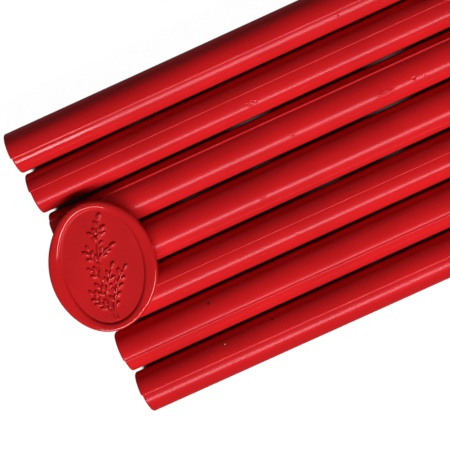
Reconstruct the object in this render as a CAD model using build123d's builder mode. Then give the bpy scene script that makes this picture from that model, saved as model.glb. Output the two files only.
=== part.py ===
"""Seven round sealing wax sticks lying side by side, with a finished oval seal laid across their ends.

Millimetres, +Z up. The sticks run along X and lie on the plane Z = 0. The origin is the bottom centre of
the whole set's bounding box. The seal lies at the -X end of the sticks and hangs over three of those ends.
"""

import math
import os

from build123d import *

# Sticks: one moulding each, cast in a two-part mould that parts along the stick's axis
stick_diameter = 11.0
stick_length = 135.0
stick_gap = 0.4
end_round = 0.5
mould_shift = 0.28
flash_height = 0.08
flash_width = 0.28

# One row for each stick, from the +Y side to the -Y side: how far its -X end stands back from the first
# stick's, how far its upper parting line is turned from straight up towards -Y in degrees, and which half
# of the moulding stands out at the -X end, 1 for the half on the +Y side
stick_rows = [
    (0.0, 6.6, 1),
    (0.6, -14.5, 1),
    (1.6, -44.0, -1),
    (2.4, 45.9, 1),
    (3.2, -8.2, 1),
    (4.0, 21.0, 1),
    (4.4, 1.1, 1),
]

# Seal: a puddle of wax pressed by an oval die, whose face leaves a sunk floor inside a raised rim
die_length = 29.4
die_width = 21.0
rim_at_ends = 1.95
rim_at_sides = 3.35
seal_height = 2.9
floor_height = 2.0
rim_round = 0.9
foot_round = 0.8
die_edge_round = 0.35
die_draft = 0.3
seal_inset = 10.0
seal_offset = -0.3
seal_turn = 76.0
seat_gap = 0.1

# Sprig: a raised stem with side twigs and small pointed leaves on the seal's floor
sprig_margin = 1.0
stem_bow = 0.92
stem_offset = -0.32
stem_thickness = 0.8
stem_pitch = 0.9
twig_thickness = 0.75
leaf_length = 2.3
leaf_width = 1.05
leaf_angle = 35.0
relief_sink = 0.1

# One row for each twig: where it leaves the stem as a share of the stem's length, its side, 1 towards the
# sticks' -X ends, the angle in degrees at which it leaves, its length, how far it bends outwards in degrees,
# and the distance between its leaves
twig_rows = [
    (0.04, -1, 18.0, 11.6, 36.0, 1.1),
    (0.06, 1, 29.0, 6.7, -8.0, 0.62),
    (0.21, 1, 17.0, 3.0, 6.0, 0.7),
    (0.28, -1, 26.0, 5.8, 8.0, 0.95),
    (0.41, 1, 33.0, 3.0, 10.0, 0.62),
    (0.57, 1, 52.0, 4.0, -38.0, 0.65),
    (0.62, -1, 29.0, 3.8, 30.0, 0.8),
    (0.83, 1, 55.0, 0.9, 6.0, 0.8),
    (0.86, -1, 27.0, 1.0, 6.0, 0.8),
]

# Shares of a branch's length below which it is bare
stem_bare = 0.74
twig_bare = 0.16

# Places that follow from these sizes
stick_radius = stick_diameter / 2
stick_pitch = stick_diameter + stick_gap
half_shift = mould_shift / 2
seal_length = die_length + 2 * rim_at_ends
seal_width = die_width + 2 * rim_at_sides
seal_cos = math.cos(math.radians(seal_turn))
seal_sin = math.sin(math.radians(seal_turn))
seal_reach_x = math.hypot(seal_length / 2 * seal_cos, seal_width / 2 * seal_sin)
seal_reach_y = math.hypot(seal_length / 2 * seal_sin, seal_width / 2 * seal_cos)
row_left = min(seal_inset - seal_reach_x, -half_shift)
row_right = max(setback for setback, _, _ in stick_rows) + stick_length + half_shift
row_middle = (row_left + row_right) / 2


def stick_across(number):
    """Y of a stick's axis: the sticks are numbered from the +Y side, and the middle one lies at 0."""
    return ((len(stick_rows) + 1) / 2 - number) * stick_pitch


def axis_height(angle):
    """Height of a stick's axis when it lies on its round side or, where that is lower, on its parting line."""
    ridge_reach = (stick_radius + flash_height) * math.cos(math.radians(angle))
    return max(stick_radius, ridge_reach)


carrier_tops = [
    2 * axis_height(angle)
    for number, (_, angle, _) in enumerate(stick_rows, start=1)
    if abs(stick_across(number) - seal_offset) < seal_reach_y
]
seal_seat = max(carrier_tops) + seat_gap

with BuildPart() as half_moulding:
    with BuildSketch():
        with BuildLine():
            round_side = CenterArc((0, 0), stick_radius, 0, 180)
            Line(round_side @ 1, round_side @ 0)
        make_face()
    extrude(amount=stick_length)
    fillet(half_moulding.edges().filter_by(GeomType.CIRCLE), end_round)


def wax_stick(number, setback, angle, long_side):
    """One stick: two half-round mouldings set a little apart lengthwise, with a ridge where they meet."""
    parting = (0, -math.sin(math.radians(angle)), math.cos(math.radians(angle)))
    start = (setback - row_middle, stick_across(number), axis_height(angle))
    stick_plane = Plane(start, parting, (1, 0, 0))
    shift = half_shift * long_side
    with BuildPart(stick_plane) as stick:
        with Locations(Location((0, 0, shift)), Location((0, 0, -shift), (0, 0, 180))):
            add(half_moulding.part)
        with BuildSketch(stick_plane.offset(half_shift + end_round)):
            with PolarLocations(stick_radius, 2):
                Polygon(
                    (flash_height, 0),
                    (-flash_height, flash_width),
                    (-flash_height, -flash_width),
                    align=None,
                )
        extrude(amount=stick_length - 2 * (half_shift + end_round))
    stick.part.label = f"wax_stick_{number}"
    return stick.part


def branch_leaves(branch, bare, pitch):
    """Places of the leaves on one branch: by turns on either side past its bare share, and one at the tip."""
    places = []
    count = int(branch.length * (1 - bare) // pitch)
    for leaf_number in range(count):
        share = bare + leaf_number * pitch / branch.length
        side = 1 if leaf_number % 2 else -1
        places.append((branch @ share, branch % share, side * leaf_angle))
    places.append((branch @ 1, branch % 1, 0.0))
    return [
        Location((point.X, point.Y, -relief_sink), (0, 0, math.degrees(math.atan2(way.Y, way.X)) + lean))
        for point, way, lean in places
    ]


# The sprig's branches, flat on the seal's floor: X along the die's length, Y across it
sprig_half = die_length / 2 - sprig_margin
stem = ThreePointArc(
    (-sprig_half, stem_offset - stem_bow),
    (0, stem_offset + stem_bow),
    (sprig_half - leaf_length, stem_offset - stem_bow),
)
branches = [(stem, stem_thickness)]
leaf_places = branch_leaves(stem, stem_bare, stem_pitch)
for share, side, spread, length, bend, pitch in twig_rows:
    heading = (stem % share).rotate(Axis.Z, side * spread)
    twig = JernArc(stem @ share, heading, length / math.radians(abs(bend)), side * bend)
    branches.append((twig, twig_thickness))
    leaf_places += branch_leaves(twig, twig_bare, pitch)

with BuildPart() as leaf:
    with BuildSketch():
        with BuildLine():
            blade = ThreePointArc((0, 0), (leaf_length / 2, leaf_width / 2), (leaf_length, 0))
            Line(blade @ 1, blade @ 0)
        make_face()
    revolve(axis=Axis.X)

seal_plane = Plane(
    (seal_inset - row_middle, seal_offset, seal_seat),
    (seal_cos, seal_sin, 0),
    (0, 0, 1),
)
floor_plane = seal_plane.offset(floor_height)
with BuildPart(floor_plane) as wax_seal:
    with BuildSketch(seal_plane):
        Ellipse(seal_length / 2, seal_width / 2)
    extrude(amount=seal_height)
    fillet(wax_seal.edges().group_by(Axis.Z)[-1], rim_round)
    fillet(wax_seal.edges().group_by(Axis.Z)[0], foot_round)
    with BuildSketch(floor_plane):
        Ellipse(die_length / 2 - die_draft, die_width / 2 - die_draft)
    with BuildSketch(seal_plane.offset(seal_height)):
        Ellipse(die_length / 2, die_width / 2)
    loft(mode=Mode.SUBTRACT)
    die_edge = wax_seal.edges().group_by(Axis.Z)[-1].sort_by(SortBy.LENGTH)[0]
    fillet(die_edge, die_edge_round)
    for branch, thickness in branches:
        route = floor_plane.offset(-relief_sink).location * branch
        with BuildSketch(Plane(route @ 0, z_dir=route % 0)):
            Circle(thickness / 2)
        sweep(path=route)
    with Locations(*leaf_places):
        add(leaf.part)
wax_seal.part.label = "wax_seal"

os.makedirs("parts", exist_ok=True)
for number, (setback, angle, long_side) in enumerate(stick_rows, start=1):
    part = wax_stick(number, setback, angle, long_side)
    export_step(part, f"parts/{part.label}.step")
export_step(wax_seal.part, "parts/wax_seal.step")
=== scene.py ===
"""Seven moulded sealing wax sticks in a row and a stamped oval seal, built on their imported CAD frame.

Run as a script in Blender 4.5. Shapes are worked out in millimetres and given to Blender in metres.
"""

import math
from typing import NamedTuple

import bpy
import numpy as np
from mathutils import Matrix, Vector


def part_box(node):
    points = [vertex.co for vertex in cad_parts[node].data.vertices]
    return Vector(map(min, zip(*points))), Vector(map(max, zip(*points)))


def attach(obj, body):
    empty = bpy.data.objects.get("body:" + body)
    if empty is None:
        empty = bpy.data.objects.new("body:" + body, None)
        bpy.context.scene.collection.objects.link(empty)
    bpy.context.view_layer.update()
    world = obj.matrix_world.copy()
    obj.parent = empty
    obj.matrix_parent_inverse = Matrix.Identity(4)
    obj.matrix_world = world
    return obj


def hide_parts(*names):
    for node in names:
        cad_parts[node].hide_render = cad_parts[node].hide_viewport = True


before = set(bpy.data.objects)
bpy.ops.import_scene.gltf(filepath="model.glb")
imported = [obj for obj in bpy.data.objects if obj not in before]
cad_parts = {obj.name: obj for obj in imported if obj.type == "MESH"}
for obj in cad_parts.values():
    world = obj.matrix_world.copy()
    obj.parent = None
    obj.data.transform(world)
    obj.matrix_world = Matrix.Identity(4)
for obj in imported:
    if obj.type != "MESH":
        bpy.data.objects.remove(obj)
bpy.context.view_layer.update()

bl_info = {
    "name": "Sealing wax set",
    "version": (1, 0, 0),
    "blender": (4, 5, 0),
    "location": "3D View > Sidebar > Wax set",
    "description": "Moulded sealing wax sticks in a row, with a stamped oval seal on their ends",
    "category": "Object",
}

MM = 0.001


class StickForm(NamedTuple):
    """What sets one stick apart from its neighbours.

    parting: how far its upper parting line is turned from straight up towards -Y, in degrees
    step: how far the half on the +Y side stands above the other at the upper parting line
    lie: how far it lies off its place towards +Y at its -X end, its middle and its other end
    sides: how much is missing from its round at the +Y side and at the -Y side
    dents: each as distance from the -X end, angle from straight up, radius and depth
    flats: flatter bands along it, each as angle from straight up, spread in degrees and depth
    seam: width of the parting line
    long_side: which mould half stands out at the -X end, 1 for the half on the +Y side
    """

    node: str
    body: str
    parting: float
    step: float
    lie: tuple
    sides: tuple
    dents: tuple
    flats: tuple = ()
    seam: float = 0.28
    long_side: int = 1


STICKS = (
    StickForm(
        "wax_stick_1", "stick_1", parting=6.6, step=0.14, lie=(0.26, 0.16, 0.25),
        sides=(0.0, 0.10), dents=((91.1, 19.0, 0.34, 0.09),),
    ),
    StickForm(
        "wax_stick_2", "stick_2", parting=-14.5, step=0.125, lie=(0.16, 0.27, 0.37),
        sides=(0.04, 0.16), flats=((27.0, 12.0, -0.07),),
        dents=(
            (60.0, 15.0, 0.30, 0.05),
            (60.9, 18.0, 0.36, 0.09),
            (61.5, 13.0, 0.26, 0.07),
            (62.3, 17.5, 0.32, 0.06),
        ),
    ),
    StickForm(
        "wax_stick_3", "stick_3", parting=-44.0, step=0.345, lie=(0.18, 0.26, 0.34),
        sides=(0.19, 0.31), flats=((34.0, 12.0, 0.03),), long_side=-1,
        dents=(
            (66.5, 19.0, 0.30, 0.06),
            (92.3, 17.5, 0.32, 0.03),
            (100.5, 15.0, 0.42, 0.11),
            (103.4, 19.0, 0.34, 0.06),
        ),
    ),
    StickForm(
        "wax_stick_4", "middle_stick", parting=45.9, step=-0.065, lie=(0.13, 0.275, 0.42),
        sides=(0.21, 0.24), flats=((34.0, 12.0, 0.035),), dents=((38.0, 18.0, 0.30, 0.04),),
    ),
    StickForm(
        "wax_stick_5", "stick_5", parting=-8.2, step=0.09, lie=(0.08, 0.17, 0.265),
        sides=(0.04, 0.06), flats=((27.0, 12.0, -0.065),), dents=((55.0, 20.0, 0.28, 0.04),),
    ),
    StickForm(
        "wax_stick_6", "stick_6", parting=21.0, step=-0.15, lie=(-0.03, 0.08, 0.19), seam=0.50,
        sides=(0.13, 0.18), flats=((34.0, 12.0, 0.08),), dents=((26.1, -30.0, 0.28, 0.05),),
    ),
    StickForm(
        "wax_stick_7", "stick_7", parting=1.1, step=0.12, lie=(-0.10, -0.02, 0.06),
        sides=(0.04, 0.0), flats=((27.0, 12.0, -0.045),), dents=((24.8, 20.0, 0.30, 0.06),),
    ),
)
# Where a stick's round is less than full: angles from straight up, and their spread
SIDE_ANGLES = (-88.0, 86.0)
SIDE_SPREAD = 14.0
# The lip round a dent: share of its depth, and place and spread in dent radii
DENT_LIP = (0.35, 1.5, 0.45)
# Phase of a stick's waves for each degree of its parting line
PHASE_STEP = 1.7
# The bead on a parting line: mean height, waves as share, length over 2 pi and phase, and fade at an end
BEAD_SHARE = 0.82
BEAD_WAVES = ((0.10, 3.1, 1), (0.08, 1.27, 2))
END_FADE = 0.6
# Ripple of a moulded side: length over 2 pi, lobes round the stick, and the quick ripple's share
SLOW_RIPPLE = (7.3, 2)
QUICK_RIPPLE = (2.9, 5, 0.6)

# Points of a stick's mesh: across a parting line, round an end's edge, over an end face as shares of its
# radius, and beside the edge
SEAM_POINTS = 13
CORNER_POINTS = 8
FACE_SHARES = (0.08, 0.35, 0.6, 0.8, 0.93)
EDGE_RINGS = (0.15, 0.4)
# Closer points at a dent, round the stick and along it: reach in dent radii, and number
DENT_ROUND = (2.4, 17)
DENT_ALONG = (2.6, 21)
# Least distance between points round a stick and along it
LEAST_ROUND = 0.05
LEAST_ALONG = 0.03

# Places on the sticks begin with the stick, the distance from its -X end and the angle from straight up.
# A smoother, glossier place: radius, a stretch that keeps it on its stick, fall in roughness, and gloss
SMOOTH_PLACE = (1, 7.0, 20.0, 20.0)
SMOOTH_STRETCH = (1.0, 2.5, 1.0)
SMOOTH_FALL = 0.16
SMOOTH_COAT = 0.22
# A painted shade along the last stick's outer, lit side, darker base colour in place of shading: its two
# edges as shares of the radius, and its shade
PAINTED_SHADE_START = (0.50, 0.62)
PAINTED_SHADE_END = (0.84, 0.95)
PAINTED_SHADE_LEVEL = 0.82

# Scuffed places: half length, and how deep
SCUFFS = (
    (2, 61.2, 16.0, 1.4, 7.0),
    (3, 92.3, 20.0, 3.0, 17.0),
    (3, 66.5, 18.0, 0.8, 9.0),
    (4, 52.0, 17.0, 1.0, 9.0),
)
SCUFF_STRETCH = (0.4, 1.0, 1.0)

# Specks of dust in the wax: radius, and whether pale
SPECKS = (
    (6, 26.1, -30.0, 0.58, False),
    (7, 38.7, -45.0, 0.45, False),
    (7, 25.1, -32.0, 0.22, True),
)
PALE_DUST = (0.95, 0.85, 0.80)
DARK_DUST = (0.04, 0.010, 0.008)
DUST_COVER = 0.9

# Painted light in the gaps, where the shaded sheet between two sticks is drawn paler: the upper one, distance
# from its -X end, and half length
PAINTED_GAP_LIGHTS = (
    (2, 57.0, 8.5),
    (2, 95.5, 8.0),
    (3, 90.0, 8.5),
)
# How pale the painted light in those gaps is
PAINTED_GAP_LIGHT_SHARE = 0.045
# Edges of the painted shade between the sticks, where the sheet is drawn near-black, in metres: inside the
# near ends at the -Y side and how much more at the +Y side, inside the far ends, and out from the outer
# sticks' inner sides
SHADE_GROUND_NEAR = (0.0002, 0.0013)
SHADE_GROUND_FAR = 0.004
SHADE_GROUND_SIDE = 0.0055
# Painted shade from occlusion: how far the sticks shelter the sheet, in metres, and how open it is where its
# dark painted shade turns to white
SHELTER_REACH = 0.03
SHELTER_OPEN = (0.28, 0.38)
# How bright the open sheet is in reflections
SHEET_GLOSS = 0.11
WHITE = (1.0, 1.0, 1.0)
ROOM_TINT = (1.0, 0.98, 0.96)

# The sprig's twigs: where each leaves the stem as a share of the stem, its side, the angle at which it
# leaves in degrees, its length, how far it bends outwards in degrees, and the distance between its leaves
TWIGS = (
    (0.04, -1, 18.0, 11.6, 36.0, 1.15),
    (0.06, 1, 29.0, 6.7, -8.0, 0.75),
    (0.21, 1, 17.0, 3.0, 6.0, 0.8),
    (0.28, -1, 26.0, 5.8, 8.0, 1.0),
    (0.41, 1, 33.0, 3.0, 10.0, 0.75),
    (0.57, 1, 52.0, 4.0, -38.0, 0.8),
    (0.62, -1, 29.0, 3.8, 30.0, 0.9),
    (0.83, 1, 55.0, 0.9, 6.0, 0.8),
    (0.86, -1, 27.0, 1.0, 6.0, 0.8),
)
# Bare share of the stem and distance between its leaves, bare share of a twig, the sprig's distance from the
# die's ends, the stem's bow and its offset across the die, and the turn of a second leaf at its tip
STEM_BARE = 0.74
STEM_PITCH = 1.0
TWIG_BARE = 0.16
SPRIG_MARGIN = 1.0
STEM_BOW = 0.92
STEM_OFFSET = -0.32
TIP_TURN = 14.0
# Branches: thickness at the foot and how much less at the tip, height over half the thickness, and roundness
BRANCH_FOOT = 1.25
BRANCH_TAPER = 0.55
BRANCH_HEIGHT = 1.85
BRANCH_ROUND = 0.8
# Leaves: how much their sizes vary and the phase between them, how far out they are widest, fullness,
# height over width, and how soon it is reached
LEAF_VARIETY = 0.09
LEAF_PHASE = 2.4
LEAF_SHOULDER = 1.35
LEAF_FULLNESS = 0.65
LEAF_HEIGHT = 0.54
LEAF_RISE = 1.15
# The hollow along a leaf: depth, spread across it over its width, and place and spread along it
LEAF_CUP = (0.12, 0.22, 0.55, 0.25)

# The rim's inner slope: distance out from the floor's edge, and height above it, plain and with a ledge
RIM_SLOPE = (
    (0.05, 0.004, 0.006),
    (0.10, 0.018, 0.025),
    (0.15, 0.050, 0.066),
    (0.20, 0.105, 0.122),
    (0.25, 0.180, 0.174),
    (0.30, 0.262, 0.214),
    (0.36, 0.352, 0.237),
    (0.42, 0.430, 0.247),
    (0.48, 0.497, 0.258),
    (0.54, 0.553, 0.300),
    (0.60, 0.596, 0.354),
    (0.66, 0.628, 0.410),
    (0.73, 0.661, 0.475),
    (0.80, 0.691, 0.540),
    (0.87, 0.717, 0.602),
    (0.94, 0.740, 0.656),
    (1.00, 0.756, 0.687),
    (1.07, 0.768, 0.719),
    (1.16, 0.777, 0.754),
    (1.30, 0.784, 0.784),
)
# The slope's ledge and the crease at its foot: place round the seal in degrees, and the cosine at which each
# ends, with how steeply they fade
LEDGE = (40.0, 0.40)
CREASE = (135.0, 0.55)
ROUND_FADE = 2.2
CREASE_DEPTH = 0.16
CREASE_WIDTH = 0.2
# Where the slope takes up the floor's short side, plain and with the ledge: distance out, and span
PLAIN_SHOULDER = (0.42, 0.45)
LEDGE_SHOULDER = (0.36, 0.18)
# Unevenness of the slope's height: waves round it, share, and phase
SLOPE_WAVES = ((2, 0.03, 0.6), (5, 0.02, -1.1))
# The rim's outer roll, from crest to foot: distance in from the outline, and share of the seal's height
RIM_ROLL = (
    (1.05, 0.968),
    (0.78, 0.960),
    (0.58, 0.947),
    (0.46, 0.932),
    (0.36, 0.910),
    (0.26, 0.880),
    (0.17, 0.840),
    (0.09, 0.788),
    (0.03, 0.718),
    (0.00, 0.615),
    (0.00, 0.430),
    (0.04, 0.300),
    (0.14, 0.180),
    (0.31, 0.080),
    (0.54, 0.020),
    (0.80, 0.000),
)
CREST_RINGS = 5
CREST_ARCH = 0.01
# The poured outline's unevenness: waves round it, share of its size, and place in degrees
OUTLINE_WAVES = ((2, 0.003, 20.0), (3, 0.005, 65.0), (4, 0.004, 10.0), (5, 0.003, 140.0))
# The floor's slow unevenness: height, length over 2 pi and phase along and across it, and fade
FLOOR_RISE = 0.010
FLOOR_WAVES = ((2.3, 0.7), (2.9, -0.4))
FLOOR_FADE = 3

# Width that the slope and the roll need, without which both are narrowed
RIM_ROOM = 2.6
# Where the floor ends short of the die's edge: place round it in degrees, and how far
SHORT_SIDE = (110.0, 0.45)
# Where the sprig and the pressed floor end, as squared shares of the way out to the die's edge
SPRIG_END = (0.86, 0.93)
PRESSED_END = (1.02, 1.12)

# Camera in the row frame: the way to it, the picture's right and up, and the point at the picture's middle
VIEW_TOWARD = Vector((0.186824, 0.077078, 0.979365))
VIEW_RIGHT = Vector((0.894650, -0.425180, -0.137201))
VIEW_UP = Vector((0.405831, 0.901821, -0.148391))
VIEW_AIM = Vector((-0.026215, -0.004118, 0.005510))
VIEW_DISTANCE = 1.815198
# Half the picture's width and the focal length, in pixels
PICTURE_HALF = 225
FOCAL_LENGTH = 7190
VIEW_ANGLE = 2 * math.atan(PICTURE_HALF / FOCAL_LENGTH)


def turned_up(angle):
    """Unit vectors across the sticks at an angle in radians from straight up, towards -Y."""
    angle = np.asarray(angle, float)
    return np.stack([np.zeros_like(angle), -np.sin(angle), np.cos(angle)], -1)


def degrees_from(angle, centre):
    """How far angles in radians are from one in degrees, in degrees."""
    return (np.degrees(angle) - centre + 180) % 360 - 180


def risen(value, start, span):
    """0 up to the start, 1 from a span beyond it, and straight between."""
    return min(max((value - start) / span, 0), 1)


class Field:
    """A number that varies over a surface. Arithmetic on it adds Math nodes to its tree."""

    def __init__(self, bench, socket):
        self.bench = bench
        self.socket = socket

    def combine(self, operation, first, second):
        """A Math node's result for two fields or numbers."""
        return self.bench.field("ShaderNodeMath", {"operation": operation}, {0: first, 1: second})

    def __add__(self, other):
        return self.combine("ADD", self, other)

    def __radd__(self, other):
        return self.combine("ADD", other, self)

    def __sub__(self, other):
        return self.combine("SUBTRACT", self, other)

    def __rsub__(self, other):
        return self.combine("SUBTRACT", other, self)

    def __mul__(self, other):
        return self.combine("MULTIPLY", self, other)

    def __rmul__(self, other):
        return self.combine("MULTIPLY", other, self)

    def __truediv__(self, other):
        return self.combine("DIVIDE", self, other)

    def __rtruediv__(self, other):
        return self.combine("DIVIDE", other, self)

    def __pow__(self, other):
        return self.combine("POWER", self, other)

    def __abs__(self):
        return self.bench.field("ShaderNodeMath", {"operation": "ABSOLUTE"}, {0: self})

    def most(self, other):
        """The larger of the two."""
        return self.combine("MAXIMUM", self, other)

    def least(self, other):
        """The smaller of the two."""
        return self.combine("MINIMUM", self, other)

    def ramp(self, low, high):
        """0 up to low, 1 from high on, and a smooth rise between them."""
        sockets = {"Value": self, "From Min": low, "From Max": high}
        return self.bench.field("ShaderNodeMapRange", {"interpolation_type": "SMOOTHSTEP"}, sockets)


class Bench:
    """A node tree, cleared for a new recipe."""

    def __init__(self, tree):
        self.tree = tree
        tree.nodes.clear()

    def node(self, kind, settings=None, sockets=None):
        """Adds a node, sets it up, and then gives its sockets their values or links."""
        node = self.tree.nodes.new(kind)
        for name, value in (settings or {}).items():
            setattr(node, name, value)
        for key, value in (sockets or {}).items():
            socket = node.inputs[key]
            if isinstance(value, Field):
                value = value.socket
            if isinstance(value, bpy.types.NodeSocket):
                self.tree.links.new(value, socket)
            else:
                socket.default_value = value
        return node

    def field(self, kind, settings=None, sockets=None, output=0):
        """Adds a node in the same way, and gives one of its outputs as a field."""
        return Field(self, self.node(kind, settings, sockets).outputs[output])

    def vector(self, operation, first, second):
        """A Vector Math node's vector."""
        node = self.node("ShaderNodeVectorMath", {"operation": operation}, {0: first, 1: second})
        return node.outputs["Vector"]

    def measure(self, operation, first, second):
        """A Vector Math node's number, such as a distance or a dot product."""
        return self.field("ShaderNodeVectorMath", {"operation": operation}, {0: first, 1: second}, "Value")

    def away(self, place, spot, stretch):
        """Distance from a spot, stretched along each axis."""
        offset = self.vector("MULTIPLY", self.vector("SUBTRACT", place, spot), stretch)
        return self.measure("LENGTH", offset, (0.0, 0.0, 0.0))

    def parts(self, vector, names):
        """A vector's parts along the named axes."""
        outputs = self.node("ShaderNodeSeparateXYZ", None, {"Vector": vector}).outputs
        return [Field(self, outputs[name]) for name in names]

    def noise(self, place, scale, detail=2.0, roughness=0.5):
        """A Noise Texture's value."""
        sockets = {"Vector": place, "Scale": scale, "Detail": detail, "Roughness": roughness}
        return self.field("ShaderNodeTexNoise", None, sockets, "Fac")

    def mix(self, share, first, second):
        """A colour between two others."""
        sockets = {"Factor": share, 6: first, 7: second}
        return self.node("ShaderNodeMix", {"data_type": "RGBA"}, sockets).outputs[2]

    def rays(self):
        """1 for the rays that the camera sees by, and 1 for those of reflections."""
        light = self.node("ShaderNodeLightPath").outputs
        names = ("Is Camera Ray", "Is Transmission Ray", "Is Glossy Ray")
        camera, through, gloss = (Field(self, light[name]) for name in names)
        return camera + through, gloss


def rgba(colour, scale=1.0):
    """A colour with full alpha, made lighter or darker by a factor."""
    return (*(channel * scale for channel in colour), 1.0)


def new_material(name):
    """A material without nodes, and the bench for its recipe."""
    material = bpy.data.materials.new(name)
    material.use_nodes = True
    return material, Bench(material.node_tree)


def put_object(name, data):
    """A new object in the scene."""
    thing = bpy.data.objects.new(name, data)
    bpy.context.scene.collection.objects.link(thing)
    return thing


def put_mesh(name, points, faces):
    """A new smooth-shaded piece from points in millimetres."""
    mesh = bpy.data.meshes.new(name)
    mesh.from_pydata((np.asarray(points) * MM).tolist(), [], faces)
    mesh.validate()
    mesh.shade_smooth()
    return put_object(name, mesh)


def place_piece(piece, node, body, material):
    """Gives a piece its material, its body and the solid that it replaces."""
    piece.data.materials.append(material)
    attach(piece, body)
    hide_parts(node)


def ring_faces(first, second, count):
    """Quads between two closed rings of points, given by the numbers of their first points."""
    after = [(k + 1) % count for k in range(count)]
    return [(first + k, first + n, second + n, second + k) for k, n in enumerate(after)]


def stick_angles(form, seam_half, steps, radius):
    """Angles round a stick from its upper parting line, in radians, closer over the lines and the dents."""
    seam = seam_half * np.cos(np.linspace(math.pi, 0, SEAM_POINTS))
    side = np.linspace(seam_half, math.pi - seam_half, steps + 1)[1:-1]
    angles = [seam, side, math.pi + seam, math.pi + side]
    reach, count = DENT_ROUND
    for _, centre, size, _ in form.dents:
        near = math.radians(centre - form.parting) + size / radius * np.linspace(-reach, reach, count)
        angles.append((near + seam_half) % (2 * math.pi) - seam_half)
    return spaced_out(np.concatenate(angles), LEAST_ROUND / radius)


def spaced_out(places, least):
    """The places in order, without those that come too close after another."""
    kept = []
    for place in sorted(places):
        if not kept or place - kept[-1] > least:
            kept.append(place)
    return np.array(kept)


def stick_stations(look, radius, length, dents):
    """Distances along a stick and the radius at each: up one end face, along the side, down the other."""
    edge = look.end_round / MM
    face = [(0.0, share * (radius - edge)) for share in FACE_SHARES]
    turn = np.linspace(0, math.pi / 2, CORNER_POINTS)
    corner = [(edge * (1 - math.cos(a)), radius - edge + edge * math.sin(a)) for a in turn]
    end = face + corner
    other_end = [(length - place, size) for place, size in reversed(end)]
    side = [np.linspace(edge, length - edge, int(length / (look.ring_pitch / MM)))[1:-1]]
    side += [[edge + off, length - edge - off] for off in EDGE_RINGS]
    reach, count = DENT_ALONG
    for start, _, size, _ in dents:
        side.append(start + size * np.linspace(-reach, reach, count))
    places = spaced_out(np.concatenate(side), LEAST_ALONG)
    return [*end, *((place, radius) for place in places), *other_end]


def build_stick(form, look, material):
    """One moulding: two half rounds a little out of line, with a thin bead of wax where they met."""
    low, high = (np.array(corner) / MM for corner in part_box(form.node))
    shift = look.mould_shift / MM / 2
    radius = (high[1] - low[1]) / 2
    length = high[0] - low[0] - 2 * shift
    stations = stick_stations(look, radius, length, form.dents)
    along = np.array([place for place, _ in stations])[:, None]
    share = np.array([size for _, size in stations])[:, None] / radius
    seam_half = form.seam / 2 / radius
    around = stick_angles(form, seam_half, look.side_steps, radius)
    angle = np.radians(form.parting) + around[None, :]

    # Which half each point belongs to, from 1 on the +Y half to -1, with a smooth change over a parting line
    from_seam = np.arcsin(np.sin(around))
    change = np.clip(from_seam / seam_half, -1, 1)
    half = -(change * (1.5 - 0.5 * change**2))[None, :]

    # The step between the halves and the bead on it, uneven along the stick and gone at the ends
    phase = PHASE_STEP * form.parting
    uneven = BEAD_SHARE
    for size, stretch, turns in BEAD_WAVES:
        uneven = uneven + size * np.sin(along / stretch + turns * phase)
    inside = np.clip((np.minimum(along, length - along) - look.end_round / MM) / END_FADE, 0, 1)
    bead = np.clip(1 - (from_seam / seam_half) ** 2, 0, 1)[None, :]
    reach = radius + form.step / 2 * half * np.cos(around)[None, :]
    reach = reach + look.bead_height / MM * bead * uneven * inside

    # Flatter bands along it, dents and ripple
    sides = [(centre, SIDE_SPREAD, depth) for centre, depth in zip(SIDE_ANGLES, form.sides)]
    for centre, spread, depth in (*form.flats, *sides):
        reach = reach - depth * np.exp(-((degrees_from(angle, centre) / spread) ** 2))
    lip, lip_place, lip_spread = DENT_LIP
    for start, centre, size, depth in form.dents:
        away = np.hypot(along - start, radius * np.radians(degrees_from(angle, centre))) / size
        hollow = np.exp(-(away**2)) - lip * np.exp(-(((away - lip_place) / lip_spread) ** 2))
        reach = reach - depth * hollow
    slow_length, slow_lobes = SLOW_RIPPLE
    quick_length, quick_lobes, quick_share = QUICK_RIPPLE
    slow = np.sin(along / slow_length + phase) * np.sin(slow_lobes * angle + phase)
    quick = quick_share * np.sin(along / quick_length - phase) * np.sin(quick_lobes * angle)
    reach = reach + look.ripple / MM * (slow + quick) * inside

    middle = (low + high) / 2
    near, mid, far = form.lie
    way = along / length
    lie = near * (1 - way) * (1 - 2 * way) + mid * 4 * way * (1 - way) + far * way * (2 * way - 1)
    points = turned_up(angle) * (reach * share)[..., None]
    points[..., 0] = low[0] + shift + along - shift * form.long_side * half
    points[..., 1] += middle[1] + lie
    points[..., 2] += middle[2]

    count = len(around)
    faces = []
    for station in range(len(stations) - 1):
        faces += ring_faces(station * count, (station + 1) * count, count)
    total = len(stations) * count
    last = total - count
    faces += [(total, (k + 1) % count, k) for k in range(count)]
    faces += [(total + 1, last + k, last + (k + 1) % count) for k in range(count)]
    tips = [points[0].mean(0), points[-1].mean(0)]
    name = form.node.replace("wax_", "moulded_")
    piece = put_mesh(name, np.concatenate([points.reshape(-1, 3), tips]), faces)
    place_piece(piece, form.node, form.body, material)


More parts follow.
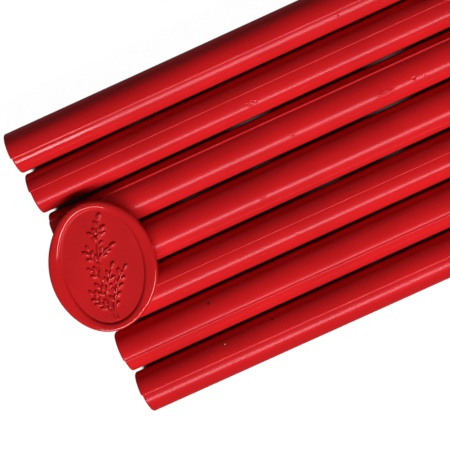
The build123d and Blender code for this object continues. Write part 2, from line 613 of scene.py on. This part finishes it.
class Branch(NamedTuple):
    """A stem or twig of the sprig: an arc on the seal's floor, bare up to a share of its length."""

    x: float
    y: float
    heading: float
    curve: float
    length: float
    thickness: float
    bare: float
    pitch: float

    def at(self, distance):
        """Place and heading at a distance along the arc."""
        heading = self.heading + self.curve * distance
        x = self.x + (np.sin(heading) - math.sin(self.heading)) / self.curve
        y = self.y - (np.cos(heading) - math.cos(self.heading)) / self.curve
        return x, y, heading

    def relief(self, u, v, sink):
        """Height of the branch above the floor, thinner towards its tip."""
        middle_x = self.x - math.sin(self.heading) / self.curve
        middle_y = self.y + math.cos(self.heading) / self.curve
        turn = np.arctan2(v - middle_y, u - middle_x) - math.atan2(self.y - middle_y, self.x - middle_x)
        turn = (turn + math.pi) % (2 * math.pi) - math.pi
        distance = np.clip(turn / self.curve, 0, self.length)
        x, y, _ = self.at(distance)
        thick = self.thickness / 2 * (BRANCH_FOOT - BRANCH_TAPER * distance / self.length)
        inside = np.maximum(1 - ((u - x) ** 2 + (v - y) ** 2) / thick**2, 0)
        return BRANCH_HEIGHT * thick * inside**BRANCH_ROUND - sink


def sprig_branches(look):
    """The stem, an arc along the die's length, and the twigs that leave it."""
    half = look.die_length / MM / 2 - SPRIG_MARGIN
    start = np.array([-half, STEM_OFFSET - STEM_BOW])
    crown = np.array([0.0, STEM_OFFSET + STEM_BOW])
    tip = np.array([half - look.leaf_length / MM, STEM_OFFSET - STEM_BOW])
    sides = np.array([crown - start, tip - crown])
    squares = np.array([crown @ crown - start @ start, tip @ tip - crown @ crown]) / 2
    centre = np.linalg.solve(sides, squares)
    bend = float(np.linalg.norm(start - centre))
    heading = math.atan2(*(start - centre)[::-1]) - math.pi / 2
    length = 2 * bend * math.asin(float(np.linalg.norm(tip - start)) / 2 / bend)
    stem = Branch(*start, heading, -1 / bend, length, look.stem_thickness / MM, STEM_BARE, STEM_PITCH)
    twigs = []
    for share, side, spread, reach, turn, pitch in TWIGS:
        x, y, way = stem.at(share * stem.length)
        way += side * math.radians(spread)
        curve = side * math.radians(turn) / reach
        twigs.append(Branch(x, y, way, curve, reach, look.twig_thickness / MM, TWIG_BARE, pitch))
    return [stem, *twigs]


def sprig_leaves(look, branches):
    """Places and headings of the leaves: by turns on either side of a branch, and one at its tip."""
    leaves = []
    for branch in branches:
        for leaf in range(int(branch.length * (1 - branch.bare) // branch.pitch)):
            x, y, way = branch.at(branch.length * branch.bare + leaf * branch.pitch)
            side = 1 if leaf % 2 else -1
            leaves.append((x, y, way + side * look.leaf_angle))
        leaves.append(branch.at(branch.length))
    x, y, way = branches[0].at(branches[0].length)
    return [*leaves, (x, y, way + math.radians(TIP_TURN))]


def sprig_relief(look, u, v):
    """Height of the sprig above the seal's floor at points along and across the die, in millimetres."""
    sink = look.relief_sink / MM
    branches = sprig_branches(look)
    height = np.zeros_like(u)
    for branch in branches:
        height = np.maximum(height, branch.relief(u, v, sink))
    cup_depth, cup_across, cup_place, cup_along = LEAF_CUP
    for number, (x, y, way) in enumerate(sprig_leaves(look, branches)):
        size = 1 + LEAF_VARIETY * math.sin(LEAF_PHASE * number)
        length, width = size * look.leaf_length / MM, size * look.leaf_width / MM
        on = ((u - x) * math.cos(way) + (v - y) * math.sin(way)) / length
        off = (v - y) * math.cos(way) - (u - x) * math.sin(way)
        swell = np.sin(math.pi * np.clip(on, 0, 1) ** LEAF_SHOULDER) ** LEAF_FULLNESS
        blade = np.where((on > 0) & (on < 1), swell, 0.0)
        edge = np.maximum(blade * width / 2, 1e-6)
        inside = np.clip(1 - (off / edge) ** 2, 0, 1)
        hollow = np.exp(-((off / (cup_across * width)) ** 2) - ((on - cup_place) / cup_along) ** 2)
        pad = LEAF_HEIGHT * width * inside * np.minimum(blade * LEAF_RISE, 1) * (1 - cup_depth * hollow)
        height = np.maximum(height, pad - sink)
    return np.maximum(height, 0)


def disc_grid(cells):
    """A square grid pressed into a unit disc: its points, its quads, and the numbers of its edge points."""
    steps = np.linspace(-1, 1, cells + 1)
    across, along = np.meshgrid(steps, steps, indexing="ij")
    x = across * np.sqrt(1 - along**2 / 2)
    y = along * np.sqrt(1 - across**2 / 2)
    row = cells + 1
    quads = []
    for i in range(cells):
        for j in range(cells):
            corner = i * row + j
            quads.append((corner, corner + row, corner + row + 1, corner + 1))
    edge = [i * row for i in range(cells)]
    edge += [cells * row + j for j in range(cells)]
    edge += [i * row + cells for i in range(cells, 0, -1)]
    edge += range(cells, 0, -1)
    return x.ravel(), y.ravel(), quads, edge


def seal_axes(look):
    """Directions along and across the die, in the row frame."""
    turn = look.seal_turn
    return np.array([math.cos(turn), math.sin(turn), 0]), np.array([-math.sin(turn), math.cos(turn), 0])


def seal_middle():
    """The middle of the seal's underside, and the seal's height, in millimetres."""
    low, high = (np.array(corner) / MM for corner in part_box("wax_seal"))
    middle = (low + high) / 2
    return np.array([middle[0], middle[1], low[2]]), high[2] - low[2]


def round_share(turn, place, end):
    """How much of a feature at a place round the seal there is in each direction, from 0 to 1."""
    return np.clip(ROUND_FADE * (np.cos(turn - math.radians(place)) - end), 0, 1)


def build_seal(look, material):
    """The pressed puddle of wax: a sunk oval floor with the sprig on it, and a rolled rim."""
    middle, height = seal_middle()
    length_way, width_way = seal_axes(look)
    floor = look.floor_height / MM
    half = np.array([look.die_length, look.die_width]) / MM / 2
    outer = half + np.array([look.rim_at_ends, look.rim_at_sides]) / MM

    # The floor, short of the die's edge on one side and creased at its own on another
    x, y, faces, edge = disc_grid(look.floor_cells)
    direction = np.arctan2(y, x)
    distance = np.hypot(x, y)
    short_place, short_width = SHORT_SIDE
    short = np.clip(np.cos(direction - math.radians(short_place)), 0, 1) ** 2
    inset = look.floor_inset / MM + short_width * short
    u, v = x * (half[0] - inset), y * (half[1] - inset)
    (u_length, u_phase), (v_length, v_phase) = FLOOR_WAVES
    rise = FLOOR_RISE * np.sin(u / u_length + u_phase) * np.sin(v / v_length + v_phase)
    heights = floor + sprig_relief(look, u, v) + rise * np.clip((1 - x**2 - y**2) * FLOOR_FADE, 0, 1)
    inward = (1 - distance) * np.hypot(half[0] * x, half[1] * y) / np.maximum(distance, 1e-6)
    crease = CREASE_DEPTH * round_share(direction, *CREASE)
    heights -= crease * np.exp(-((inward / CREASE_WIDTH) ** 2))
    flat = [np.stack([u, v, heights], -1)]

    # Rings from the floor's edge out to the foot, each as a share of the way to the outline and a height
    turn = np.arctan2(y[edge], x[edge])
    start = np.stack([u[edge], v[edge]], -1)
    uneven = 1 + sum(
        size * np.cos(waves * turn - math.radians(place)) for waves, size, place in OUTLINE_WAVES
    )
    end = np.stack([np.cos(turn) * outer[0], np.sin(turn) * outer[1]], -1) * uneven[:, None]
    width = np.linalg.norm(end - start, axis=1)
    swell = sum((size * np.cos(waves * turn + phase) for waves, size, phase in SLOPE_WAVES), 1)
    fit = np.minimum(width / RIM_ROOM, 1)
    drawn_in = short_width * short[edge]
    ledge = round_share(turn, *LEDGE)
    rings = []
    for out, plain, stepped in RIM_SLOPE:
        shoulder = (1 - ledge) * risen(out, *PLAIN_SHOULDER) + ledge * risen(out, *LEDGE_SHOULDER)
        sunk = crease[edge] * math.exp(-((out / CREASE_WIDTH) ** 2))
        up = (plain + (stepped - plain) * ledge) * swell - sunk
        rings.append(((out * fit + drawn_in * shoulder) / width, floor + up))
    roll = [(1 - back * fit / width, up * height) for back, up in RIM_ROLL]
    (slope_share, slope_height), (roll_share, roll_height) = rings[-1], roll[0]
    for step in range(1, CREST_RINGS + 1):
        part = step / (CREST_RINGS + 1)
        arch = CREST_ARCH * (height - floor) * math.sin(math.pi * part)
        share = slope_share + (roll_share - slope_share) * part
        rings.append((share, slope_height + (roll_height - slope_height) * part + arch))
    rings += roll
    base = len(u)
    count = len(turn)
    after = [(k + 1) % count for k in range(count)]
    loop = edge
    for share, level in rings:
        spot = start + (end - start) * np.broadcast_to(share, turn.shape)[:, None]
        flat.append(np.column_stack([spot, np.broadcast_to(level, turn.shape)]))
        ring = range(base, base + count)
        faces += [(loop[k], ring[k], ring[n], loop[n]) for k, n in enumerate(after)]
        loop = ring
        base += count
    faces.append(tuple(reversed(loop)))

    flat = np.concatenate(flat)
    points = middle + flat[:, :1] * length_way + flat[:, 1:2] * width_way
    points[:, 2] += flat[:, 2]
    piece = put_mesh("stamped_seal", points, faces)
    place_piece(piece, "wax_seal", "seal", material)


def stick_spot(number, start, angle):
    """A point on a stick's side in the row frame, in metres."""
    form = STICKS[number - 1]
    low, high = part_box(form.node)
    middle = (low + high) / 2
    radius = (high.y - low.y) / 2
    way = turned_up(math.radians(angle))
    return (low.x + start * MM, middle.y + radius * float(way[1]), middle.z + radius * float(way[2]))


def finish_wax(bench, grain, height, sockets):
    """Gives a wax its surface, with the grain as bump."""
    bump = bench.node("ShaderNodeBump", None, {"Strength": 1.0, "Distance": grain, "Height": height})
    sockets = {**sockets, "IOR": 1.46, "Normal": bump.outputs["Normal"]}
    shader = bench.node("ShaderNodeBsdfPrincipled", None, sockets)
    bench.node("ShaderNodeOutputMaterial", None, {"Surface": shader.outputs["BSDF"]})


def stick_wax(look):
    """Hard glossy wax, faintly streaked along the stick, with a fine grain, a few specks of dust, and a
    painted shade band along the last stick's outer side.
    """
    material, bench = new_material("stick_wax_moulded")
    place = bench.node("ShaderNodeTexCoord").outputs["Object"]
    streak = bench.noise(bench.vector("MULTIPLY", place, (0.05, 1.0, 1.0)), scale=700.0)
    mottle = bench.noise(place, scale=60.0, detail=3.0)
    grain = bench.noise(place, scale=2300.0, roughness=0.6)
    pores = bench.noise(place, scale=900.0, detail=1.0)
    scratch = bench.noise(bench.vector("MULTIPLY", place, (0.6, 1.0, 1.0)), scale=2600.0, detail=1.0)

    deep, full = rgba(look.colour, 0.9), rgba(look.colour, 1.05)
    colour = bench.mix((0.65 * mottle + 0.35 * streak).ramp(0.3, 0.7), deep, full)
    # Painted shade: a darker band of the base colour along the last stick's outer, lit side
    (y,) = bench.parts(place, "Y")
    low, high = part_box("wax_stick_7")
    outer = ((low.y + high.y) / 2 - y) / ((high.y - low.y) / 2)
    painted_shade = outer.ramp(*PAINTED_SHADE_START) * (1 - outer.ramp(*PAINTED_SHADE_END))
    colour = bench.mix(painted_shade, colour, rgba(look.colour, PAINTED_SHADE_LEVEL))
    for *spot, size, pale in SPECKS:
        away = bench.measure("DISTANCE", place, stick_spot(*spot))
        dust = rgba(PALE_DUST if pale else DARK_DUST)
        colour = bench.mix((1 - away.ramp(0.45 * size * MM, size * MM)) * DUST_COVER, colour, dust)
    scuff = 0.0
    for *spot, size, depth in SCUFFS:
        away = bench.away(place, stick_spot(*spot), SCUFF_STRETCH)
        scuff = scuff + depth * (1 - away.ramp(0.1 * size * MM, 0.45 * size * MM))
    *spot, size = SMOOTH_PLACE
    away = bench.away(place, stick_spot(*spot), SMOOTH_STRETCH)
    smooth = 1 - away.ramp(0.5 * size * MM, size * MM)
    rough = look.roughness + 0.10 * (streak - 0.5) + 0.08 * (grain - 0.5) - SMOOTH_FALL * smooth
    height = 0.75 * grain + 0.5 * pores + scuff * scratch
    sockets = {
        "Base Color": colour,
        "Roughness": rough,
        "Specular IOR Level": 0.27,
        "Specular Tint": (1.0, 0.55, 0.64, 1.0),
        "Coat Weight": SMOOTH_COAT * smooth,
        "Coat Roughness": 0.08,
    }
    finish_wax(bench, look.grain, height, sockets)
    return material


def seal_wax(look):
    """The same wax, set against a metal die: a satin floor inside a glossy poured rim."""
    material, bench = new_material("seal_wax_pressed")
    place = bench.node("ShaderNodeTexCoord").outputs["Object"]
    mottle = bench.noise(place, scale=90.0, detail=3.0).ramp(0.3, 0.7)
    grain = bench.noise(place, scale=2600.0, roughness=0.6)
    flow = bench.noise(place, scale=260.0, detail=1.0)

    # Place over the die, height, and so the part of the seal
    middle, _ = seal_middle()
    length_way, width_way = seal_axes(look)
    offset = bench.vector("SUBTRACT", place, tuple(middle * MM))
    along = bench.measure("DOT_PRODUCT", offset, tuple(length_way)) / (look.die_length / 2)
    across = bench.measure("DOT_PRODUCT", offset, tuple(width_way)) / (look.die_width / 2)
    level = bench.measure("DOT_PRODUCT", offset, (0.0, 0.0, 1.0))
    out = along**2.0 + across**2.0
    floor = look.floor_height
    pressed = (1 - out.ramp(*PRESSED_END)) * level.ramp(0.6 * floor, 0.8 * floor)
    raised = level.ramp(floor + 0.05 * MM, floor + 0.25 * MM) * (1 - out.ramp(*SPRIG_END))
    slope = level.ramp(floor + 0.30 * MM, floor + 0.50 * MM) * out.ramp(*SPRIG_END)
    upper = level.ramp(0.6 * floor, 1.05 * floor)
    poured = (1 - pressed).most(slope)

    sunk, rim = (
        bench.mix(mottle, rgba(base, 0.93), rgba(base, 1.05)) for base in (look.colour, look.rim_colour)
    )
    colour = bench.mix(poured, sunk, rim)
    rough = look.floor_roughness + (look.rim_roughness - look.floor_roughness) * poured
    rough = rough + 0.08 * (grain - 0.5)
    height = (0.35 + 0.5 * pressed) * grain + 1.1 * (1 - pressed) * flow
    sockets = {
        "Base Color": colour,
        "Roughness": rough,
        "Specular IOR Level": 0.1,
        "Specular Tint": (1.0, 0.7, 0.72, 1.0),
        "Coat Weight": upper * poured.most(0.6 * raised),
        "Coat Roughness": 0.025,
    }
    finish_wax(bench, look.grain, height, sockets)
    return material


def floor_paper(look):
    """A pale sheet that the camera sees as white, except where the sticks shelter it: there it is drawn
    near-black as painted shade, with faint painted light in a few gaps.
    """
    material, bench = new_material("floor_paper")
    place = bench.node("ShaderNodeNewGeometry").outputs["Position"]
    x, y = bench.parts(place, "XY")
    camera, gloss = bench.rays()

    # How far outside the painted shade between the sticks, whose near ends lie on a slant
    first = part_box("wax_stick_1")
    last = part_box("wax_stick_7")
    slant = (last[0].x - first[0].x) / (first[0].y - last[0].y)
    ends = first[0].x + slant * (first[0].y - y)
    least, more = SHADE_GROUND_NEAR
    near = ends + (least + more * y.ramp(-0.025, -0.005)) - x
    far = x - (first[1].x - SHADE_GROUND_FAR)
    beside = abs(y) - (first[0].y + SHADE_GROUND_SIDE)
    beyond = near.most(far).most(beside)
    open_sheet = beyond.ramp(-0.0005, 0.0005)

    # What the camera sees as white, and what reflections do
    # Painted light: the shaded sheet between the sticks is drawn paler in patches and at the listed gaps
    gap_light_patches = bench.noise(place, scale=70.0, detail=1.0).ramp(0.55, 0.75)
    painted_gap_light = look.painted_gap_light_level * (0.6 + 2.4 * gap_light_patches)
    for number, start, size in PAINTED_GAP_LIGHTS:
        above, below = (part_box(f"wax_stick_{stick}") for stick in (number, number + 1))
        spot = (above[0].x + start * MM, (above[0].y + below[1].y) / 2, 0.0)
        away = bench.away(place, spot, (1.0 / size, 1.0, 1.0))
        painted_gap_light = painted_gap_light.most(PAINTED_GAP_LIGHT_SHARE * (1 - away.ramp(0.0, MM)))
    shelter = bench.field("ShaderNodeAmbientOcclusion", {"samples": 32}, {"Distance": SHELTER_REACH}, "AO")
    clear = shelter.ramp(*SHELTER_OPEN)
    backdrop = (SHEET_GLOSS * y.ramp(0.02, 0.04) * open_sheet).most(beyond.ramp(1.5, 3.0))
    seen = camera * clear.most(painted_gap_light) + gloss * backdrop

    fibre = bench.noise(place, scale=300.0, detail=3.0)
    paper = bench.mix(fibre, rgba(look.floor_colour, 0.97), rgba(look.floor_colour, 1.0))
    # Painted shade: the sheet under and between the sticks takes a near-black colour
    paper = bench.mix(open_sheet, rgba(look.painted_shade_ground_colour), paper)
    plain = bench.node("ShaderNodeBsdfDiffuse", None, {"Color": paper})
    lit = bench.node("ShaderNodeBsdfDiffuse", None, {"Color": rgba(WHITE, look.shade_depth)})
    glow = bench.node("ShaderNodeEmission", None, {"Color": rgba(WHITE), "Strength": look.floor_white})
    white = bench.node("ShaderNodeAddShader", None, {0: glow.outputs[0], 1: lit.outputs[0]})
    sheet = bench.node("ShaderNodeMixShader", None, {"Fac": seen, 1: plain.outputs[0], 2: white.outputs[0]})
    bench.node("ShaderNodeOutputMaterial", None, {"Surface": sheet.outputs[0]})
    return material


def build_floor(look):
    """The sheet that the row lies on."""
    mesh = bpy.data.meshes.new("floor")
    half = look.floor_size / 2
    corners = [(-half, -half, 0), (half, -half, 0), (half, half, 0), (-half, half, 0)]
    mesh.from_pydata(corners, [], [(0, 1, 2, 3)])
    floor = put_object("floor", mesh)
    mesh.materials.append(floor_paper(look))


def build_room(look):
    """A dim room round the sheet. Its far wall is white where the camera or a reflection meets it."""
    world = bpy.data.worlds.new("dim_room")
    world.use_nodes = True
    bench = Bench(world.node_tree)
    way = bench.node("ShaderNodeTexCoord").outputs["Generated"]
    side, rise = bench.parts(way, "YZ")
    camera, gloss = bench.rays()
    seen = (camera + gloss * (look.room_gloss + 1 - rise.ramp(0.005, 0.02))).least(1.0)
    far_side = side.ramp(0.1, 0.8) * (1 - rise.ramp(0.1, 0.4)) * (1 - gloss)
    dim, fill, white = (
        bench.node("ShaderNodeBackground", None, {"Color": rgba(tint), "Strength": strength})
        for tint, strength in ((ROOM_TINT, look.room_light), (ROOM_TINT, look.far_fill), (WHITE, 1.0))
    )
    room = bench.node("ShaderNodeMixShader", None, {"Fac": far_side, 1: dim.outputs[0], 2: fill.outputs[0]})
    wall = bench.node("ShaderNodeMixShader", None, {"Fac": seen, 1: room.outputs[0], 2: white.outputs[0]})
    bench.node("ShaderNodeOutputWorld", None, {"Surface": wall.outputs[0]})
    bpy.context.scene.world = world


def build_strip_light(look):
    """A long soft box, roughly in line with the sticks, that faces the row."""
    way = Vector(look.strip_way).normalized()
    long_axis = (Vector((1, 0, 0)) - way * way.x).normalized()
    short_axis = way.cross(long_axis)
    lamp = bpy.data.lights.new("strip_light", "AREA")
    lamp.shape = "RECTANGLE"
    lamp.size = look.strip_length
    lamp.size_y = look.strip_width
    lamp.energy = look.strip_radiance * math.pi * look.strip_length * look.strip_width
    strip = put_object("strip_light", lamp)
    turn = Matrix((long_axis, short_axis, way)).transposed().to_4x4()
    strip.matrix_world = Matrix.Translation(way * look.strip_distance) @ turn


def build_camera():
    """The camera, where the photograph was taken from."""
    lens = bpy.data.cameras.new("photo_view")
    lens.angle = VIEW_ANGLE
    camera = put_object("photo_view", lens)
    turn = Matrix((VIEW_RIGHT, VIEW_UP, VIEW_TOWARD)).transposed().to_4x4()
    camera.matrix_world = Matrix.Translation(VIEW_AIM + VIEW_TOWARD * VIEW_DISTANCE) @ turn
    bpy.context.scene.camera = camera


def float_property(name, description, default, **limits):
    return bpy.props.FloatProperty(name=name, description=description, default=default, **limits)


def size_property(name, description, default):
    """A length, in metres."""
    limits = {"min": 0.0, "unit": "LENGTH", "subtype": "DISTANCE", "precision": 5}
    return float_property(name, description, default, **limits)


def share_property(name, description, default):
    """A share from 0 to 1."""
    return float_property(name, description, default, min=0.0, max=1.0, subtype="FACTOR")


def angle_property(name, description, default):
    """An angle, given in degrees."""
    return float_property(name, description, math.radians(default), subtype="ANGLE")


def colour_property(name, description, default):
    limits = {"size": 3, "min": 0.0, "max": 1.0, "subtype": "COLOR"}
    return bpy.props.FloatVectorProperty(name=name, description=description, default=default, **limits)


def count_property(name, description, default, least, most):
    return bpy.props.IntProperty(name=name, description=description, default=default, min=least, max=most)


class StickSettings(bpy.types.PropertyGroup):
    """Sizes and finish that all the moulded sticks share."""

    end_round: size_property("End round", "Radius of the edge round each end face", 0.0005)
    mould_shift: size_property("Mould shift", "Lengthwise step between the two mould halves", 0.00028)
    bead_height: size_property("Bead height", "Height of the bead of wax along the parting line", 0.00002)
    ripple: size_property("Ripple", "Depth of the slow unevenness of the moulded side", 0.000004)
    ring_pitch: size_property("Ring pitch", "Distance between the rings of points along a stick", 0.0011)
    side_steps: count_property("Side steps", "Faces round each mould half", 62, 16, 200)
    colour: colour_property("Wax colour", "Colour of the stick wax", (0.57, 0.0105, 0.0128))
    roughness: share_property("Roughness", "Roughness of the moulded side", 0.22)
    grain: size_property("Grain", "Depth of the fine grain of the moulded side", 0.000016)


class SealSettings(bpy.types.PropertyGroup):
    """Sizes and finish of the stamped seal."""

    die_length: size_property("Die length", "Length of the oval die", 0.0294)
    die_width: size_property("Die width", "Width of the oval die", 0.0210)
    rim_at_ends: size_property("Rim at ends", "Width of the rim beyond the die's ends", 0.00195)
    rim_at_sides: size_property("Rim at sides", "Width of the rim beyond the die's sides", 0.00335)
    floor_height: size_property("Floor height", "Thickness of wax under the pressed floor", 0.0020)
    floor_inset: size_property("Floor inset", "How far the floor's edge lies inside the die's edge", 0.00012)
    seal_turn: angle_property("Seal turn", "Turn of the die's length from +X", 76.0)
    stem_thickness: size_property("Stem thickness", "Thickness of the sprig's stem", 0.0008)
    twig_thickness: size_property("Twig thickness", "Thickness of the sprig's twigs", 0.00075)
    leaf_length: size_property("Leaf length", "Length of one leaf of the sprig", 0.0024)
    leaf_width: size_property("Leaf width", "Width of one leaf of the sprig", 0.00125)
    leaf_angle: angle_property("Leaf angle", "Angle of a leaf from its branch", 35.0)
    relief_sink: size_property("Relief sink", "How far the sprig is sunk into the floor", 0.0001)
    floor_cells: count_property("Floor cells", "Cells along each side of the floor's grid", 236, 20, 260)
    colour: colour_property("Wax colour", "Colour of the seal wax", (0.528, 0.0122, 0.0142))
    rim_colour: colour_property("Rim colour", "Colour of the poured rim", (0.575, 0.0093, 0.0108))
    floor_roughness: share_property("Floor roughness", "Roughness of the pressed floor", 0.38)
    rim_roughness: share_property("Rim roughness", "Roughness of the poured rim", 0.14)
    grain: size_property("Grain", "Depth of the fine grain of the wax", 0.000005)


class StageSettings(bpy.types.PropertyGroup):
    """Light, floor and room."""

    strip_way: bpy.props.FloatVectorProperty(
        name="Strip direction", description="Way from the row to the strip light",
        default=(0.042, -0.691, 0.722), size=3, subtype="DIRECTION",
    )
    strip_distance: size_property("Strip distance", "Distance of the strip light from the row", 1.2)
    strip_length: size_property("Strip length", "Length of the strip light", 1.9)
    strip_width: size_property("Strip width", "Width of the strip light", 0.28)
    strip_radiance: float_property("Strip radiance", "Brightness of the strip light's face", 14.7, min=0.0)
    room_light: float_property("Room light", "Brightness of the dim room", 0.035, min=0.0)
    far_fill: float_property("Far fill", "Brightness of the room low on the +Y side", 1.15, min=0.0)
    room_gloss: share_property("Room gloss", "How bright the room is in reflections", 0.06)
    floor_size: size_property("Floor size", "Side of the square floor", 30.0)
    floor_colour: colour_property("Floor colour", "Colour of the sheet under the row", (0.06,) * 3)
    # Painted shade: the near-black colour of the sheet under and between the sticks
    painted_shade_ground_colour: colour_property("Ground colour", "Colour of the sheet between sticks", (0.015,) * 3)
    # Painted light: how much paler the shaded sheet between the sticks is drawn
    painted_gap_light_level: share_property("Ground glimpse", "How much of the pale sheet shows between sticks", 0.005)
    floor_white: share_property("Floor white", "How white the camera sees the sheet in the shade", 0.985)
    shade_depth: share_property("Shade depth", "How much of the row's shadow shows on the sheet", 0.03)


class WAXSET_OT_sticks(bpy.types.Operator):
    """Build the seven moulded sticks"""

    bl_idname = "wax_set.sticks"
    bl_label = "Moulded sticks"

    def execute(self, context):
        look = context.scene.wax_sticks
        material = stick_wax(look)
        for form in STICKS:
            build_stick(form, look, material)
        return {"FINISHED"}


class WAXSET_OT_seal(bpy.types.Operator):
    """Build the stamped oval seal"""

    bl_idname = "wax_set.seal"
    bl_label = "Stamped seal"

    def execute(self, context):
        look = context.scene.wax_seal
        build_seal(look, seal_wax(look))
        return {"FINISHED"}


class WAXSET_OT_stage(bpy.types.Operator):
    """Set up the floor, the room, the light and the camera"""

    bl_idname = "wax_set.stage"
    bl_label = "Stage"

    def execute(self, context):
        look = context.scene.wax_stage
        build_floor(look)
        build_room(look)
        build_strip_light(look)
        build_camera()
        context.scene.view_settings.view_transform = "Standard"
        return {"FINISHED"}


class WAXSET_PT_sidebar(bpy.types.Panel):
    """Settings and builders of the wax set"""

    bl_idname = "WAXSET_PT_sidebar"
    bl_label = "Sealing wax set"
    bl_space_type = "VIEW_3D"
    bl_region_type = "UI"
    bl_category = "Wax set"

    def draw(self, context):
        for group, operator in BUILDERS:
            settings = getattr(context.scene, group)
            box = self.layout.box()
            for name in settings.__annotations__:
                box.prop(settings, name)
            box.operator(operator.bl_idname)


BUILDERS = (("wax_sticks", WAXSET_OT_sticks), ("wax_seal", WAXSET_OT_seal), ("wax_stage", WAXSET_OT_stage))
SETTINGS = {"wax_sticks": StickSettings, "wax_seal": SealSettings, "wax_stage": StageSettings}
CLASSES = (*SETTINGS.values(), WAXSET_OT_sticks, WAXSET_OT_seal, WAXSET_OT_stage, WAXSET_PT_sidebar)


def register():
    for kind in CLASSES:
        bpy.utils.register_class(kind)
    for group, kind in SETTINGS.items():
        setattr(bpy.types.Scene, group, bpy.props.PointerProperty(type=kind))


def unregister():
    for group in SETTINGS:
        delattr(bpy.types.Scene, group)
    for kind in reversed(CLASSES):
        bpy.utils.unregister_class(kind)


def main():
    """Builds the set and its stage."""
    register()
    bpy.ops.wax_set.sticks()
    bpy.ops.wax_set.seal()
    bpy.ops.wax_set.stage()


if __name__ == "__main__":
    main()
